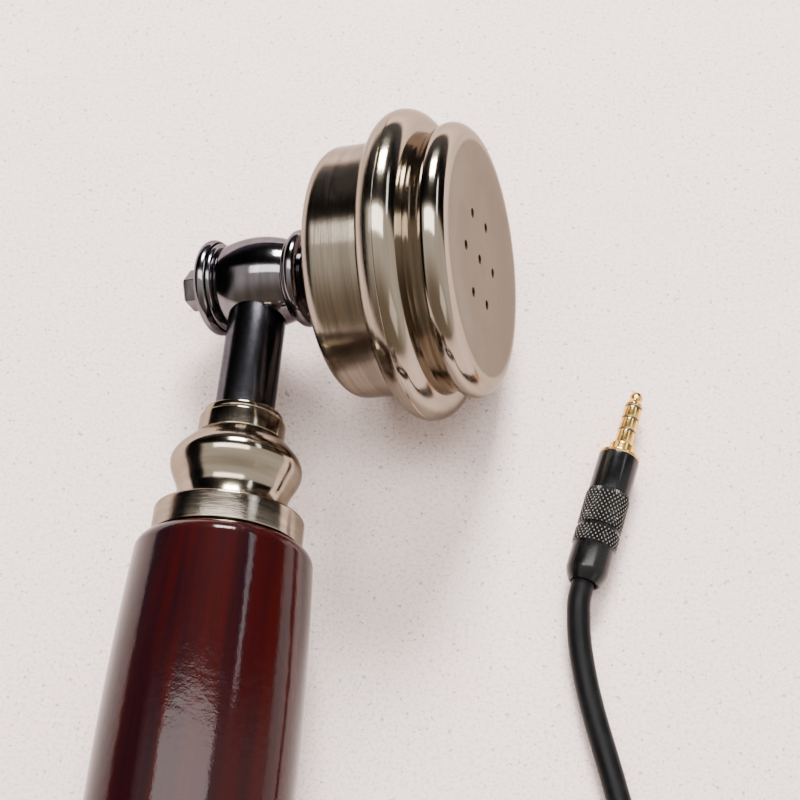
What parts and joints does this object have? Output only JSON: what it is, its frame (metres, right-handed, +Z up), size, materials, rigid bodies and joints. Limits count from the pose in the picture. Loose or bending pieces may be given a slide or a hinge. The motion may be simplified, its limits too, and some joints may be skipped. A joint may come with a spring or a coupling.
{
  "type": "corded telephone handset",
  "caption": "Corded retro telephone handset: turned wooden grip between metal tees, round earpiece, flared mouthpiece and a coiled lead with a four-pole jack plug.",
  "frame": {"origin": "centre of the footprint of the handset without its cord, on the surface it lies on", "axes": "+Y up the handle to the earpiece, +X to the side that the earpiece faces, +Z up from the table"},
  "size_m": [0.1046, 0.3201, 0.0599],
  "materials": {
    "mahogany": "deep glossy lacquer over dark red mahogany",
    "brushed_nickel": "warm nickel plate, brushed round the axis, lacquered",
    "antique_nickel": "antique nickel over brass, satin polish",
    "black_nickel": "black nickel plate, mirror polish",
    "steel": "turned steel",
    "gold": "polished gold plate",
    "black_anodised": "gloss black over aluminium",
    "black_rubber": "satin black rubber",
    "strap": "woven hook and loop strap",
    "black_plastic": "moulded black plastic",
    "paper": "pressed paper",
    "cloth": "acoustic cloth",
    "ferrite": "sintered ferrite",
    "aluminium": "drawn can",
    "wire": "insulated wire",
    "fibre": "vulcanised fibre"
  },
  "bodies": {
    "handle": {"wood_grip": "mahogany", "tie_rod": "steel", "lead_wires": "wire", "upper_neck_tube": "black_nickel", "upper_collar": "antique_nickel", "upper_bulb": "antique_nickel", "upper_band": "antique_nickel", "lower_neck_tube": "black_nickel", "lower_collar": "antique_nickel", "lower_bulb": "antique_nickel", "lower_band": "antique_nickel", "ear_tee": "black_nickel", "ear_bead_rings": "black_nickel", "ear_stud": "black_nickel", "ear_spacer": "black_nickel", "ear_friction_washer": "fibre", "ear_nut": "steel", "mouth_tee": "black_nickel", "mouth_bead_rings": "black_nickel", "mouth_stud": "black_nickel", "mouth_spacer": "black_nickel", "mouth_friction_washer": "fibre", "mouth_nut": "steel", "cord_gland": "black_nickel", "strain_relief": "black_rubber", "cord_lead": "black_rubber", "cord_coil": "black_rubber", "coil_tie": "strap", "cord_tail": "black_rubber", "plug_tip": "gold", "plug_ring_1": "gold", "plug_ring_2": "gold", "plug_sleeve_contact": "gold", "plug_insulators": "black_plastic", "plug_flange": "gold", "plug_body": "black_anodised", "plug_tags": "gold"},
    "earpiece": {"ear_cup": "brushed_nickel", "speaker_seat": "black_plastic", "speaker_frame": "steel", "speaker_magnet": "ferrite", "speaker_cone": "paper"},
    "ear_cap_thread": {"ear_gasket": "black_rubber"},
    "ear_cap": {"ear_cap": "brushed_nickel", "ear_cloth": "cloth"},
    "mouthpiece": {"mouth_cup": "brushed_nickel", "microphone_holder": "black_plastic", "microphone": "aluminium"},
    "horn_thread": {"mouth_gasket": "black_rubber"},
    "horn": {"mouth_horn": "brushed_nickel", "mouth_cloth": "cloth"},
    "shell_thread": {"plug_liner": "paper"},
    "plug_shell": {"plug_shell": "black_anodised"}
  },
  "joints": [
    {"name": "earpiece_swivel", "type": "hinge", "parent": "handle", "child": "earpiece", "pos_m": [-0.02103, 0.1, 0.0174], "axis": [0.9473, 0, 0.3203], "range_deg": [-90, 90]},
    {"name": "ear_cap_travel", "type": "slide", "parent": "earpiece", "child": "ear_cap_thread", "axis": [0.9473, 0, 0.3203], "range_m": [0, 0.003]},
    {"name": "ear_cap_turn", "type": "hinge", "parent": "ear_cap_thread", "child": "ear_cap", "pos_m": [-0.02103, 0.1, 0.0174], "axis": [0.9473, 0, 0.3203], "range_deg": [0, 1080]},
    {"name": "mouthpiece_swivel", "type": "hinge", "parent": "handle", "child": "mouthpiece", "pos_m": [-0.02103, -0.1, 0.0174], "axis": [0.9473, 0, 0.3203], "range_deg": [-90, 90]},
    {"name": "horn_travel", "type": "slide", "parent": "mouthpiece", "child": "horn_thread", "axis": [0.9473, 0, 0.3203], "range_m": [0, 0.003]},
    {"name": "horn_turn", "type": "hinge", "parent": "horn_thread", "child": "horn", "pos_m": [-0.02103, -0.1, 0.0174], "axis": [0.9473, 0, 0.3203], "range_deg": [0, 1080]},
    {"name": "plug_shell_travel", "type": "slide", "parent": "handle", "child": "shell_thread", "axis": [-0.2334, -0.9724, 0], "range_m": [0, 0.0015]},
    {"name": "plug_shell_turn", "type": "hinge", "parent": "shell_thread", "child": "plug_shell", "pos_m": [0.0472, 0.05921, 0.0043], "axis": [0.2334, 0.9724, 0], "range_deg": [0, 720]}
  ],
  "couplings": [
    {"joint": "ear_cap_turn", "follows": "ear_cap_travel", "rad_per_m": 6283.2},
    {"joint": "horn_turn", "follows": "horn_travel", "rad_per_m": 6283.2},
    {"joint": "plug_shell_turn", "follows": "plug_shell_travel", "rad_per_m": 8377.6}
  ]
}
